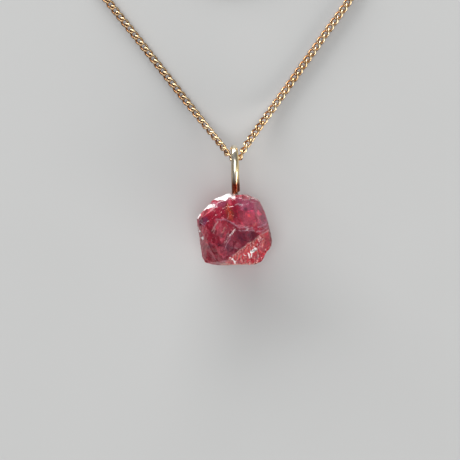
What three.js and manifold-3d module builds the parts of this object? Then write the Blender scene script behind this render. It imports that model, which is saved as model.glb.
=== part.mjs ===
// A rough spinel crystal worn as a pendant: the stone is half drilled and cemented on the peg of a gold
// wire bail, and a curb chain runs through the bail. It lies on its back, with its chain laid out in a V
// and the rest of the chain wound in a flat double coil.
// Millimetres. +X to the pendant's right, +Y towards the bail, +Z up from the surface that it lies on.
import * as THREE from "three";
import { ConvexGeometry } from "three/addons/geometries/ConvexGeometry.js";
import { mergeVertices } from "three/addons/utils/BufferGeometryUtils.js";
import Module from "manifold-3d";

const wasm = await Module();
wasm.setup();

// Driving dimensions
const BAIL_WIRE = 0.92; // diameter of the bail's wire
const PEG_X = 0.06; // the peg's axis, which is parallel to Y
const PEG_Z = 4.3;
const PEG_END_Y = -1.9; // the peg's blind end in the stone
const HOLE_CLEARANCE = 0.08; // of the drilled hole round the peg
const SEAT_Y = 1.3; // the spot face that the hole is drilled through
const SEAT_RADIUS = 0.95;
const BEAD_RADIUS = 0.8;
const BEAD_HEIGHT = 0.3;
const BEAD_GAP = 0.03; // under the bead
const BEAD_BORE = BAIL_WIRE / 2 + 0.06;
// The bead's profile, out and up, as shares of its radius and its height
const BEAD_SHAPE = [
  [1, 0],
  [0.97, 0.45],
  [0.82, 0.85],
];
const LOOP_REACH = 1.32; // half the loop's depth, to the middle of the wire
const LOOP_TOP_Y = 7.68; // the loop's far end, to the middle of the wire
const LOOP_BEND_Y = LOOP_TOP_Y - LOOP_REACH; // where the arms begin to bend round
const LOOP_SLANT = LOOP_REACH * Math.SQRT1_2; // half way round the bend
const LOOP_FRONT = PEG_Z + LOOP_REACH;
const LOOP_BACK = PEG_Z - LOOP_REACH;
// The middle of the wire from its peg in the stone, round the loop to its cut tail
const BAIL_ROUTE = [
  [PEG_X, PEG_END_Y, PEG_Z],
  [PEG_X, 0.2, PEG_Z],
  [PEG_X, 1.9, PEG_Z + 0.02],
  [PEG_X, 3.4, PEG_Z + 0.62],
  [PEG_X, 4.9, LOOP_FRONT - 0.12],
  [PEG_X, LOOP_BEND_Y, LOOP_FRONT],
  [PEG_X - 0.08, LOOP_BEND_Y + LOOP_SLANT, PEG_Z + LOOP_SLANT],
  [PEG_X - 0.14, LOOP_TOP_Y, PEG_Z],
  [PEG_X - 0.08, LOOP_BEND_Y + LOOP_SLANT, PEG_Z - LOOP_SLANT],
  [PEG_X + 0.02, LOOP_BEND_Y, LOOP_BACK],
  [PEG_X + 0.12, 4.9, LOOP_BACK + 0.02],
  [PEG_X + 0.22, 3.4, LOOP_BACK + 0.24],
  [PEG_X + 0.3, 1.85, LOOP_BACK + 0.35],
];
const BAIL_STEPS = 56;
const CHAIN_WIDTH = 1.2;
const CHAIN_THICKNESS = 0.71;
const CHAIN_Z = 0.36; // the middle of a chain that lies flat on the surface
const ROLLED_Z = 0.5; // the middle of one that lies on its edge, rolled by 30 degrees
const COIL_CENTRE = [-0.9, 41.9];
const COIL_OUTER = 12.72; // over the outermost turn
const COIL_INNER = 4.55; // inside the innermost turn
const COIL_ROUNDING = 0.15; // how far its outer edges are cut back
const CLASP_WIRE = 0.8;
const CLASP_RADIUS = 1.95; // of the spring ring, to the middle of its tube
const CLASP_X = 0.9; // the spring ring's centre, along the clasp from the coil's centre
const EYE_WIRE = 0.36;
const EYE_RADIUS = 0.7; // of the ring's eye, to the middle of the wire
const TRIGGER_LENGTH = 0.6;
const TRIGGER_RADIUS = 0.22;
const TRIGGER_TURN = THREE.MathUtils.degToRad(38);
const JOINT_DEPTH = 0.05; // how far a soldered piece sinks into the ring
const EYE_X = -(CLASP_RADIUS + CLASP_WIRE / 2 + EYE_RADIUS - JOINT_DEPTH); // from the ring's centre
const CLASP_Z = 0.88; // the ring lies on the lower wires of its two jump rings
const CLASP_TURN = THREE.MathUtils.degToRad(-26); // of the clasp about the vertical
const RING_WIRE = 0.4;
const RING_RADIUS = 1.0; // to the middle of the wire
const RING_TILT = THREE.MathUtils.degToRad(50); // from the surface
const RING_SHIFT = 0.3; // from the tube that the right jump ring holds out to its own centre

// Points on the stone that its outline passes through, seen from above, each with its height
const GIRDLE = [
  [-0.96, 1.6, 5.0],
  [-0.5, 1.62, 4.3],
  [1.63, 1.56, 4.2],
  [2.12, 1.17, 4.9],
  [3.15, 0.86, 4.9],
  [3.44, 0.6, 4.3],
  [4.1, -0.75, 4.5],
  [4.55, -2.05, 4.6],
  [4.92, -3.66, 4.7],
  [5.15, -4.91, 4.2],
  [5.05, -5.45, 3.8],
  [3.96, -7.26, 3.4],
  [3.57, -7.68, 3.2],
  [2.79, -8.0, 3.6],
  [-1.35, -8.12, 3.9],
  [-2.75, -8.08, 3.4],
  [-4.0, -7.72, 3.7],
  [-4.4, -7.02, 3.2],
  [-5.01, -2.96, 4.0],
  [-5.1, -1.86, 4.5],
  [-4.86, -1.4, 4.9],
  [-4.36, -0.76, 4.95],
  [-3.16, 0.5, 4.95],
  [-2.9, 0.77, 4.9],
  [-2.13, 1.0, 5.1],
];
// Corners of the upper side: the bright steps at the top left, the cross ridge, the slanting ridge,
// the left flank and the right shoulder
const UPPER_CORNERS = [
  [-4.7, -1.9, 5.7],
  [-4.15, -1.1, 6.1],
  [-3.2, -0.3, 6.5],
  [-2.8, 0.35, 6.3],
  [-2.0, 0.7, 6.45],
  [-1.1, 1.1, 6.4],
  [-0.3, 1.15, 6.45],
  [-2.4, -1.87, 7.3],
  [-1.69, -1.95, 7.62],
  [-0.94, -2.2, 7.9],
  [-0.19, -2.74, 8.1],
  [0.84, -2.96, 8.2],
  [2.4, -3.15, 8.0],
  [4.15, -3.43, 6.6],
  [-0.6, -7.25, 6.05],
  [0.76, -6.02, 6.85],
  [1.78, -5.07, 7.4],
  [3.2, -4.2, 7.5],
  [-2.3, -5.3, 6.95],
  [-3.5, -3.2, 6.75],
  [-3.55, -5.1, 6.15],
  [-2.3, -7.5, 5.4],
  [1.6, 0.95, 6.35],
  [2.85, 0.45, 6.2],
  [2.9, -0.6, 6.75],
  [4.0, -1.5, 5.75],
  [4.5, -3.3, 5.7],
];
// Corners of the under side above the face that the stone rests on
const UNDER_CORNERS = [
  [-4.25, -6.3, 1.7],
  [4.3, -5.5, 1.8],
  [4.0, -1.3, 2.0],
  [1.1, 0.95, 1.7],
  [-2.6, 0.1, 2.0],
  [-4.5, -2.6, 2.1],
  [2.9, -7.5, 1.5],
  [-1.5, -7.7, 1.4],
];
const REST_FACE = [
  [-2.7, -6.3],
  [2.0, -6.8],
  [3.6, -4.7],
  [2.8, -1.4],
  [-1.0, -0.4],
  [-3.3, -2.0],
  [-3.6, -4.8],
].map(([x, y]) => [x, y, 0]);

// Flat faces cleaved through three points each; what lies above them is gone
const CLEAVAGES = [
  // the dark face between the cross ridge and the slanting ridge
  [[0.3, -2.9, 8.0], [3.05, -4.15, 7.3], [-0.6, -7.2, 5.95]],
  // the face left of it, below the cross ridge
  [[-0.94, -2.3, 7.72], [-2.2, -5.3, 6.7], [-3.45, -3.4, 6.5]],
  // the lower left flank
  [[-3.5, -5.2, 6.0], [-2.3, -7.45, 5.2], [-4.3, -6.8, 4.2]],
  // the right shoulder
  [[2.7, -0.4, 6.6], [3.3, 0.3, 5.2], [3.95, -2.9, 6.45]],
];

// Shell-shaped breaks: the deepest point, the way it faces, the shell's radius, how far it spreads from
// the deepest point, and the spacing and height of its ripples
const BREAKS = [
  { at: [5.3, -5.1, 4.2], out: [0.5, -0.62, 0.6], radius: 24, spread: 6.4, pitch: 0.75, height: 0.08 },
  { at: [4.35, -6.35, 3.5], out: [0.82, -0.57, 0.1], radius: 2.4, spread: 2.0, pitch: 0.7, height: 0.02 },
  { at: [1.0, 1.3, 6.3], out: [0.05, 0.42, 0.9], radius: 7.0, spread: 3.2, pitch: 0.7, height: 0.035 },
  { at: [-3.6, 0.0, 6.1], out: [-0.36, 0.4, 0.84], radius: 8.0, spread: 3.4, pitch: 0.75, height: 0.04 },
  { at: [4.4, -2.4, 5.9], out: [0.6, 0.2, 0.77], radius: 4.4, spread: 2.7, pitch: 0.6, height: 0.04 },
  { at: [-4.9, -3.0, 4.7], out: [-0.83, 0.0, 0.55], radius: 5.5, spread: 3.2, pitch: 0.7, height: 0.05 },
  { at: [-4.72, -4.2, 3.5], out: [-1, -0.1, 0.1], radius: 1.6, spread: 1.1, pitch: 0.5, height: 0.01 },
  { at: [2.3, 1.2, 4.2], out: [0.3, 0.95, 0.05], radius: 1.1, spread: 0.9, pitch: 0.4, height: 0.01 },
  { at: [4.4, -0.4, 2.6], out: [0.7, 0.45, -0.6], radius: 7.0, spread: 4.2, pitch: 0.8, height: 0.06 },
  { at: [-4.5, -6.6, 2.6], out: [-0.65, -0.45, -0.6], radius: 7.0, spread: 4.2, pitch: 0.8, height: 0.06 },
  { at: [1.9, -8.0, 3.2], out: [0.1, -0.85, -0.5], radius: 8.0, spread: 3.4, pitch: 0.75, height: 0.05 },
  { at: [-4.4, -0.6, 3.7], out: [-0.6, 0.6, -0.5], radius: 6.0, spread: 3.4, pitch: 0.7, height: 0.05 },
];
const BREAK_SIDES = 24;

// Ledges: the middle of each one's inner corner, the ways that its floor and its wall face, and half
// of its length
const LEDGES = [
  { corner: [-3.85, -1.02, 5.28], floor: [-0.49, 0.58, 0.65], wall: [-0.63, 0.75, 0.2], half: 1.45 },
  { corner: [-3.55, -0.75, 5.85], floor: [-0.49, 0.5, 0.71], wall: [-0.7, 0.68, 0.2], half: 0.75 },
  { corner: [-1.9, 0.68, 5.45], floor: [-0.35, 0.68, 0.65], wall: [-0.45, 0.87, 0.2], half: 1.28 },
  { corner: [-0.45, 1.1, 5.5], floor: [0.26, 0.71, 0.65], wall: [0.33, 0.92, 0.2], half: 0.55 },
  { corner: [1.6, 0.98, 5.3], floor: [0.1, 0.78, 0.62], wall: [0.1, 0.97, 0.2], half: 0.6 },
  { corner: [2.75, 0.55, 5.3], floor: [0.2, 0.73, 0.65], wall: [0.25, 0.95, 0.2], half: 0.7 },
  { corner: [3.1, -4.5, 6.75], floor: [0.35, -0.3, 0.88], wall: [0.75, -0.65, 0.1], half: 0.9 },
  { corner: [1.4, -5.75, 6.6], floor: [0.2, -0.35, 0.91], wall: [0.6, -0.78, 0.1], half: 0.8 },
];
const LEDGE_REACH = 2.5;

// The chain's route on each side, from the coil to the middle of the bail
const LEFT_ROUTE = [
  [-14.2, 43.85, CHAIN_Z],
  [-15.4, 42.3, CHAIN_Z],
  [-17.6, 39.6, CHAIN_Z],
  [-19.4, 36.6, CHAIN_Z],
  [-19.9, 33.6, CHAIN_Z],
  [-19.2, 30.9, CHAIN_Z],
  [-17.8, 28.64, ROLLED_Z],
  [-13.5, 23.13, ROLLED_Z],
  [-9.2, 17.62, ROLLED_Z],
  [-6.5, 14.16, 0.6],
  [-4.9, 12.11, 0.95],
  [-3.66, 10.54, 1.55],
  [-2.42, 8.97, 2.4],
  [-1.6, 7.93, 3.1],
  [-1.1, 7.22, 3.65],
  [-0.64, 6.68, 4.0],
  [-0.32, 6.38, 4.15],
];
const RIGHT_ROUTE = [
  [10.75, 35.2, CHAIN_Z],
  [12.4, 36.2, CHAIN_Z],
  [14.8, 36.6, CHAIN_Z],
  [16.9, 35.3, CHAIN_Z],
  [17.7, 32.7, CHAIN_Z],
  [17.0, 30.2, 0.4],
  [15.7, 28.07, ROLLED_Z],
  [12.0, 22.85, ROLLED_Z],
  [8.3, 17.64, ROLLED_Z],
  [6.1, 14.54, 0.6],
  [4.6, 12.42, 0.95],
  [3.43, 10.8, 1.55],
  [2.27, 9.17, 2.4],
  [1.6, 8.15, 3.1],
  [1.16, 7.42, 3.6],
  [0.76, 6.66, 3.98],
  [0.47, 6.35, 4.15],
];
const RUN_STEPS = 38;
const RUN_SLACK = 0.05; // by which a run's solid is slimmer than the links
const ROUND_SIDES = 10;

const point = (p) => new THREE.Vector3(...p);

function toSolid(geometry) {
  const bare = geometry.clone();
  bare.deleteAttribute("normal");
  bare.deleteAttribute("uv");
  const merged = mergeVertices(bare, 1e-4);
  return new wasm.Manifold(
    new wasm.Mesh({
      numProp: 3,
      vertProperties: new Float32Array(merged.attributes.position.array),
      triVerts: new Uint32Array(merged.index.array),
    }),
  );
}

function toGeometry(solid) {
  const { vertProperties, triVerts } = solid.getMesh();
  const geometry = new THREE.BufferGeometry();
  geometry.setAttribute("position", new THREE.BufferAttribute(vertProperties, 3));
  geometry.setIndex(new THREE.BufferAttribute(triVerts, 1));
  const flat = geometry.toNonIndexed();
  flat.computeVertexNormals();
  return flat;
}

// A regular section, wide along the path's side and thick along its normal
function ovalSection(thickness, width, sides) {
  const corners = Array.from({ length: sides }, (_, i) => {
    const turn = ((i + 0.5) / sides) * 2 * Math.PI;
    return new THREE.Vector2((thickness / 2) * Math.cos(turn), (width / 2) * Math.sin(turn));
  });
  return new THREE.Shape(corners);
}

function sweep(points, section, steps) {
  const path = new THREE.CatmullRomCurve3(points.map(point), false, "centripetal");
  return new THREE.ExtrudeGeometry(section, { steps, extrudePath: path, bevelEnabled: false });
}

// Everything above the plane through three points, as a block to cut away
function aboveFace([a, b, c]) {
  const plane = new THREE.Plane().setFromCoplanarPoints(point(a), point(b), point(c));
  if (plane.normal.z < 0) plane.negate();
  const block = new THREE.BoxGeometry(30, 30, 10);
  block.translate(0, 0, 5);
  block.applyQuaternion(new THREE.Quaternion().setFromUnitVectors(new THREE.Vector3(0, 0, 1), plane.normal));
  block.translate(...plane.normal.clone().multiplyScalar(-plane.constant).toArray());
  return toSolid(block);
}

// A bowl with ripples round its deepest point, to cut a shell-shaped break with
function shellBreak({ at, out, radius, spread, pitch, height }) {
  const rings = Math.ceil(spread / (pitch / 2));
  const profile = [new THREE.Vector2(0, -radius)];
  for (let i = 1; i <= rings; i++) {
    const along = (i / rings) * spread;
    const r = radius + (i % 2 ? height : -height) * Math.min(1, (2 * i) / rings);
    profile.push(new THREE.Vector2(r * Math.sin(along / radius), -r * Math.cos(along / radius)));
  }
  const rim = profile[profile.length - 1];
  const flare = new THREE.Vector2(rim.x + radius * 0.8, rim.y + radius * 0.9);
  profile.push(flare, new THREE.Vector2(0, flare.y));
  const bowl = new THREE.LatheGeometry(profile, BREAK_SIDES);
  const facing = point(out).normalize();
  bowl.translate(0, radius, 0);
  bowl.applyQuaternion(new THREE.Quaternion().setFromUnitVectors(new THREE.Vector3(0, 1, 0), facing));
  bowl.translate(...at);
  return toSolid(bowl);
}

// A wedge between a floor and a wall that meet in the ledge's inner corner
function ledgeCut({ corner, floor, wall, half }) {
  const up = point(floor).normalize();
  const side = point(wall).normalize();
  const run = new THREE.Vector3().crossVectors(up, side).normalize();
  const alongFloor = new THREE.Vector3().crossVectors(run, up).normalize();
  if (alongFloor.dot(side) < 0) alongFloor.negate();
  const alongWall = new THREE.Vector3().crossVectors(side, run).normalize();
  if (alongWall.dot(up) < 0) alongWall.negate();
  const corners = [];
  for (const end of [-half, half]) {
    const origin = point(corner).addScaledVector(run, end);
    const far = alongFloor.clone().multiplyScalar(LEDGE_REACH);
    const high = alongWall.clone().multiplyScalar(LEDGE_REACH);
    corners.push(origin.clone(), origin.clone().add(far), origin.clone().add(high));
    corners.push(origin.clone().add(far).add(high));
  }
  return toSolid(new ConvexGeometry(corners));
}

function alongY(radius, fromY, toY, sides) {
  const rod = new THREE.CylinderGeometry(radius, radius, toY - fromY, sides);
  rod.translate(PEG_X, (fromY + toY) / 2, PEG_Z);
  return toSolid(rod);
}

function spinelCrystal() {
  const corners = [...GIRDLE, ...UPPER_CORNERS, ...UNDER_CORNERS, ...REST_FACE].map(point);
  let stone = toSolid(new ConvexGeometry(corners));
  for (const face of CLEAVAGES) stone = stone.subtract(aboveFace(face));
  for (const spot of BREAKS) stone = stone.subtract(shellBreak(spot));
  for (const ledge of LEDGES) stone = stone.subtract(ledgeCut(ledge));
  stone = stone.subtract(alongY(SEAT_RADIUS, SEAT_Y, SEAT_Y + 2, 20));
  stone = stone.subtract(alongY(BAIL_WIRE / 2 + HOLE_CLEARANCE, PEG_END_Y - HOLE_CLEARANCE, SEAT_Y + 1, 16));
  return toGeometry(stone);
}

function bailWire() {
  return sweep(BAIL_ROUTE, ovalSection(BAIL_WIRE, BAIL_WIRE, ROUND_SIDES), BAIL_STEPS);
}

// The bead of cement round the wire where it enters the stone
function cementBead() {
  const profile = BEAD_SHAPE.map(([r, h]) => new THREE.Vector2(r * BEAD_RADIUS, h * BEAD_HEIGHT));
  const inner = new THREE.Vector2(BEAD_BORE, 0);
  profile.unshift(inner);
  profile.push(new THREE.Vector2(BEAD_BORE, BEAD_HEIGHT), inner.clone());
  const bead = new THREE.LatheGeometry(profile, 24);
  bead.translate(PEG_X, SEAT_Y + BEAD_GAP, PEG_Z);
  return bead;
}

function chainCoil() {
  const half = CHAIN_THICKNESS / 2;
  const profile = [
    [COIL_INNER, -half],
    [COIL_OUTER - COIL_ROUNDING, -half],
    [COIL_OUTER, -half / 2],
    [COIL_OUTER, half / 2],
    [COIL_OUTER - COIL_ROUNDING, half],
    [COIL_INNER, half],
    [COIL_INNER, -half],
  ].map(([r, h]) => new THREE.Vector2(r, h));
  const ring = new THREE.LatheGeometry(profile, 64);
  ring.rotateX(Math.PI / 2);
  ring.translate(COIL_CENTRE[0], COIL_CENTRE[1], half);
  return ring;
}

// The spring ring: a hollow ring with an eye on one side and a trigger on the rim
function springRing() {
  const eye = new THREE.TorusGeometry(EYE_RADIUS, EYE_WIRE / 2, 8, 20);
  eye.translate(EYE_X, 0, 0);
  const trigger = new THREE.CylinderGeometry(TRIGGER_RADIUS * 0.8, TRIGGER_RADIUS, TRIGGER_LENGTH, 10);
  trigger.translate(0, CLASP_RADIUS + (CLASP_WIRE + TRIGGER_LENGTH) / 2 - JOINT_DEPTH, 0);
  trigger.rotateZ(TRIGGER_TURN);
  const ring = toSolid(new THREE.TorusGeometry(CLASP_RADIUS, CLASP_WIRE / 2, 10, 36));
  return toGeometry(ring.add(toSolid(eye)).add(toSolid(trigger)));
}

function jumpRing() {
  return new THREE.TorusGeometry(RING_RADIUS, RING_WIRE / 2, 8, 24);
}

const gold = { metalness: 1, roughness: 0.18 };
const crystalFinish = new THREE.MeshStandardMaterial({ color: 0x9e2f4b, roughness: 0.2, metalness: 0 });
const bailFinish = new THREE.MeshStandardMaterial({ color: 0xd9b878, ...gold });
const chainFinish = new THREE.MeshStandardMaterial({ color: 0xd99a62, ...gold });
const cementFinish = new THREE.MeshStandardMaterial({ color: 0xb98a80, roughness: 0.12, metalness: 0 });

const pendant = new THREE.Group();

function add(name, geometry, finish, group = pendant) {
  const mesh = new THREE.Mesh(geometry, finish);
  mesh.name = name;
  group.add(mesh);
  return mesh;
}

add("spinel_crystal", spinelCrystal(), crystalFinish);
add("bail_wire", bailWire(), bailFinish);
add("cement_bead", cementBead(), cementFinish);

const runSection = ovalSection(CHAIN_THICKNESS - RUN_SLACK, CHAIN_WIDTH - 3 * RUN_SLACK, 8);
add("chain_left_run", sweep(LEFT_ROUTE, runSection, RUN_STEPS), chainFinish);
add("chain_right_run", sweep(RIGHT_ROUTE, runSection, RUN_STEPS), chainFinish);
add("chain_coil", chainCoil(), chainFinish);

const clasp = new THREE.Group();
clasp.position.set(COIL_CENTRE[0], COIL_CENTRE[1], 0);
clasp.rotation.z = CLASP_TURN;
pendant.add(clasp);
add("spring_ring_clasp", springRing(), chainFinish, clasp).position.set(CLASP_X, 0, CLASP_Z);
const JUMP_RINGS = [
  { name: "jump_ring_right", x: CLASP_X + CLASP_RADIUS + RING_SHIFT, tilt: RING_TILT },
  { name: "jump_ring_left", x: CLASP_X + EYE_X - RING_RADIUS, tilt: -RING_TILT },
];
for (const { name, x, tilt } of JUMP_RINGS) {
  const ring = add(name, jumpRing(), chainFinish, clasp);
  ring.position.set(x, 0, RING_RADIUS * Math.sin(RING_TILT) + RING_WIRE / 2);
  ring.rotation.x = tilt;
}

export default pendant;
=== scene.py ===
"""A rough spinel crystal on a gold wire bail, lying on a pale surface with its curb chain laid out."""
import math
import random

import bpy
import numpy as np
from mathutils import Matrix, Vector


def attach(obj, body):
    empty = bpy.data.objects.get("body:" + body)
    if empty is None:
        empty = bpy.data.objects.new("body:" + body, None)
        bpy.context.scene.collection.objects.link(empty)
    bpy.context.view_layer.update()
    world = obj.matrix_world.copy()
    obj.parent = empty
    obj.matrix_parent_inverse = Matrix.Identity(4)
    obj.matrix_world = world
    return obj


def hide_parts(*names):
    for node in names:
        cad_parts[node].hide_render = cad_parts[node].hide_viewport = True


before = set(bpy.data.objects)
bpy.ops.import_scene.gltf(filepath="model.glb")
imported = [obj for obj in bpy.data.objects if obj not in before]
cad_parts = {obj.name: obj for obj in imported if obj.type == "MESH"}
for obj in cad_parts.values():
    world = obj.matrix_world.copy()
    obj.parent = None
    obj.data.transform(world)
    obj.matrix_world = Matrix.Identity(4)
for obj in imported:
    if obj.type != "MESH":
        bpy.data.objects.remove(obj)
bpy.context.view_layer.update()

MM = 0.001  # shapes are worked out in millimetres and brought to metres when they are done
WIRE_CREASE = math.radians(50)  # a wire's ends stay sharp past this bend

# Camera: straight above the pendant, so far off that its view hardly narrows
VIEW_CENTRE = (-0.60 * MM, -3.31 * MM)
VIEW_WIDTH = 62.6 * MM
CAMERA_HEIGHT = 0.8
SENSOR_MM = 36.0

# Chain: curb links of round wire, each twisted about its long axis, in millimetres
LINK_WIRE = 0.34
LINK_PITCH = 1.04
LINK_HALF_WIDTH = 0.43  # to the middle of the wire
LINK_HALF_LENGTH = 0.75
LINK_TWIST = math.radians(-130)
LINK_RINGS = 12
LINK_SIDES = 5
SHADE_INWARDS = (-0.02, 0.14)  # from the middle of the wire, where painted shade darkens a link on its inside
SHADE_UPWARDS = (-0.05, 0.34)  # from the chain's middle, where the painted shade on a link's lower side clears again on its upper side
CHAIN_Z = 0.36  # the middle of a chain that lies flat
ROLLED_Z = 0.5  # the middle of a chain that lies on its edge
ROLL_IN_BAIL = math.radians(80)
ROLL_ON_RIGHT = math.radians(30)
ROLL_LEFT_OF_BAIL = math.radians(130)
ROLL_ON_LEFT = math.radians(155)
# Along each run from the middle of the bail: where it turns to how it lies, where the left run
# rolls on a little, and where both come to lie flat before the coil
ROLL_LEAVES_BAIL = (0.5, 3)
LEFT_ROLLS_ON = (4, 15)
ROLL_LIES_DOWN = (27, 33)
ROLL_JITTER = math.radians(2.5)
CHAIN_SEED = 5

# Coil: a flat spiral of the chain's two strands round the clasp
COIL_CENTRE = Vector((-0.9, 41.9, 0))
COIL_INNER = 5.15  # to the middle of the innermost turn
TURN_PITCH = 2.44  # both strands
RIGHT_LEAVES = (math.radians(-55), 11.95)
LEFT_LEAVES = (math.radians(147), 12.1)
TURN_STEPS = 32
CURL_IN = math.radians(50)  # how far round each strand curls in to its jump ring

# Clasp: a spring ring in the middle of the coil, with a jump ring on each side
CLASP_TURN = math.radians(-26)
CLASP_MATRIX = Matrix.Translation(COIL_CENTRE) @ Matrix.Rotation(CLASP_TURN, 4, "Z")
SPRING_RING_AT = Vector((0.9, 0, 0.88))
SPRING_RING_RADIUS = 1.95
SPRING_RING_TUBE = 0.8
SHELL_ARC = (118, 430)  # degrees round the ring
BOLT_ARC = (60, 128)
BOLT_RADIUS = 0.25
COLLAR_HALF_ARC = 2.4
COLLAR_RISE = 0.035
LEVER = [(1.23, 2.0, 0.05), (1.42, 2.25, 0.05), (1.6, 2.45, 0.05), (1.75, 2.62, 0.05)]
LEVER_RADII = [0.13, 0.13, 0.16, 0.2]
EYE_AT = (-3.0, 0, 0)
EYE_RADIUS = 0.7
EYE_WIRE_RADIUS = 0.18
JUMP_RING_RADIUS = 1.0
JUMP_RING_WIRE = 0.4
JUMP_RING_ARC = (96, 453)
JUMP_RING_TILT = math.radians(50)
JUMP_RING_Z = 0.966
JUMP_RING_REACH = {"right": 3.15, "left": -3.1}
HOOK_TURN = math.radians(-45)  # where on a jump ring the chain's end link hangs

# The route of each run, from the coil to the middle of the bail
LEFT_ROUTE = [
    (-14.2, 43.85, CHAIN_Z), (-15.4, 42.3, CHAIN_Z), (-17.6, 39.6, CHAIN_Z), (-19.4, 36.6, CHAIN_Z),
    (-19.9, 33.6, CHAIN_Z), (-19.2, 30.9, CHAIN_Z), (-17.8, 28.64, ROLLED_Z), (-13.5, 23.13, ROLLED_Z),
    (-9.2, 17.62, ROLLED_Z), (-6.5, 14.16, 0.6), (-4.9, 12.11, 0.95), (-3.66, 10.54, 1.55),
    (-2.42, 8.97, 2.4), (-1.6, 7.93, 3.1), (-1.1, 7.22, 3.65), (-0.64, 6.68, 4.0), (-0.32, 6.38, 4.15),
]
RIGHT_ROUTE = [
    (10.75, 35.2, CHAIN_Z), (12.4, 36.2, CHAIN_Z), (14.8, 36.6, CHAIN_Z), (16.9, 35.3, CHAIN_Z),
    (17.7, 32.7, CHAIN_Z), (17.0, 30.2, 0.4), (15.7, 28.07, ROLLED_Z), (12.0, 22.85, ROLLED_Z),
    (8.3, 17.64, ROLLED_Z), (6.1, 14.54, 0.6), (4.6, 12.42, 0.95), (3.43, 10.8, 1.55), (2.27, 9.17, 2.4),
    (1.6, 8.15, 3.1), (1.16, 7.42, 3.6), (0.76, 6.66, 3.98), (0.47, 6.35, 4.15),
]
ROUTE_STEP = 0.5
FINE_STEPS = 24  # from one corner of a route to the next, before it is spaced evenly

# Bail: one wire from its peg in the stone, round the loop and back to a cut tail
BAIL_ROUTE = [
    (0.06, -1.9, 4.3), (0.06, 0.2, 4.3), (0.06, 1.9, 4.32), (0.06, 3.4, 4.92), (0.06, 4.9, 5.5),
    (0.06, 6.36, 5.62), (-0.02, 7.293, 5.233), (-0.08, 7.68, 4.3), (-0.02, 7.293, 3.367),
    (0.08, 6.36, 2.98), (0.18, 4.9, 3.0), (0.28, 3.4, 3.22), (0.36, 1.85, 3.33),
]
BAIL_STEP = 0.12
RED_REFLECTION_FROM = 2.8 * MM  # the bail carries a painted red reflection of the stone up to here
RED_REFLECTION_TO = 4.0 * MM
BAIL_THIN = 0.41  # radius at the peg and the tail
BAIL_THICK = 0.5  # radius round the loop
BAIL_SWELLS = (3.2, 6.5)  # along the wire from its peg's end
BAIL_NARROWS = (5.0, 2.0)  # along the wire from its tail's end
TAIL_ROUNDED = (0.96, 0.72)  # share of the radius at the tail's last two points
PEG_AXIS = (0.06, 4.3)  # across and up
PEG_HOLE = 0.54
PEG_HOLE_CLOSED = 0.36  # the cement fills the hole up to inside the peg's skin
STONE_TOP_Y = 1.3

# Cement round the wire where it goes into the stone
BEAD_RADIUS = 0.8
BEAD_HEIGHT = 0.28
BEAD_FOOT = BEAD_RADIUS * 0.92
BEAD_LIP = BAIL_THIN + 0.03
BEAD_LIFT = 0.04
BEAD_EDGE = 0.07
LUMP_SIZE = 0.5
LUMP_HEIGHT = 0.06
LUMP_LEVEL = 0.75

# Crystal: its fine mesh
STONE_VOXEL = 0.065
STONE_CREASE = math.radians(32)  # the crystal's edges stay sharp past this bend
MERGE_WITHIN = 0.0005  # points of the loose triangles that are one point
HOLE_MARGIN = 0.02
HOLE_END_Y = -2.1  # just past the bottom of the drilled hole
STONE_SEED = 11
STONE_KEPT = 0.92  # share of the fine mesh's faces that stay
# Flakes: how many, their radius and depth, and how far they lean
BROAD_FLAKES = 520
BROAD_FLAKE = ((0.9, 4.0), (0.015, 0.06), 0.2)
EDGE_FLAKES = 160
EDGE_FLAKE = ((0.2, 0.8), (0.03, 0.09), 0.5)
SHARPEST = 0.93  # the share of the points that aren't on a sharp edge
FLAKE_DEPTH = 0.17  # at most, all flakes together
SIDE_FLAKE_SHARE = 0.75  # how much less that is on the outline
# Cracks inside it
CRACK_GAP = 0.03
STONE_MIDDLE = Vector((0, -3.4, 4.2))
CRACK_WAVE_SIZE = 0.45
CRACK_WAVE_HEIGHT = 0.12
DEEP_CRACKS = 16
DEEP_CRACKS_REACH = np.array((3.0, 2.6, 1.8))
DEEP_CRACK_RADIUS = (0.25, 0.8)
DEEP_CRACK_LENGTH = (0.6, 1.5)
# Each crack that shows from above: its place, the way it faces, its radius and how drawn out it is
SEEN_CRACKS = [
    ((-2.75, -2.8, 6.0), (0.85, 0.35, 0.4), 0.42, 1.9),
    ((-2.65, -3.6, 5.9), (0.9, 0.2, 0.35), 0.25, 1.9),
    ((-1.5, -3.3, 6.3), (0.8, 0.35, 0.5), 0.28, 1.6),
    ((1.9, -1.6, 6.2), (-0.3, 0.55, 0.75), 0.6, 1.4),
    ((2.6, -2.3, 5.9), (-0.2, 0.6, 0.75), 0.5, 1.3),
    ((2.55, -5.9, 5.6), (0.5, 0.1, 0.85), 0.35, 1.8),
    ((1.6, -6.5, 5.2), (0.75, 0.2, 0.6), 0.3, 2.2),
    ((0.2, -7.0, 5.0), (0.4, 0.3, 0.85), 0.35, 1.4),
]
# Its broken surface
RIB_PITCH = 0.46
RIB_HEIGHT = 0.13
RIB_LEVEL = 0.6  # the share of a rib's height that keeps its place
RIPPLE_SIZE = 1.2
RIPPLE_HEIGHT = 0.03
CRUMB_SIZE = 0.25
CRUMB_HEIGHT = 0.16
# How softly drawn areas end
HACKLED_SOFT = 0.15
CALM_SOFT = 0.3
WINDOW_SOFT = 0.3
CRUMB_SOFT = 0.08
HIGHLIGHT_SOFT = 0.05

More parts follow.
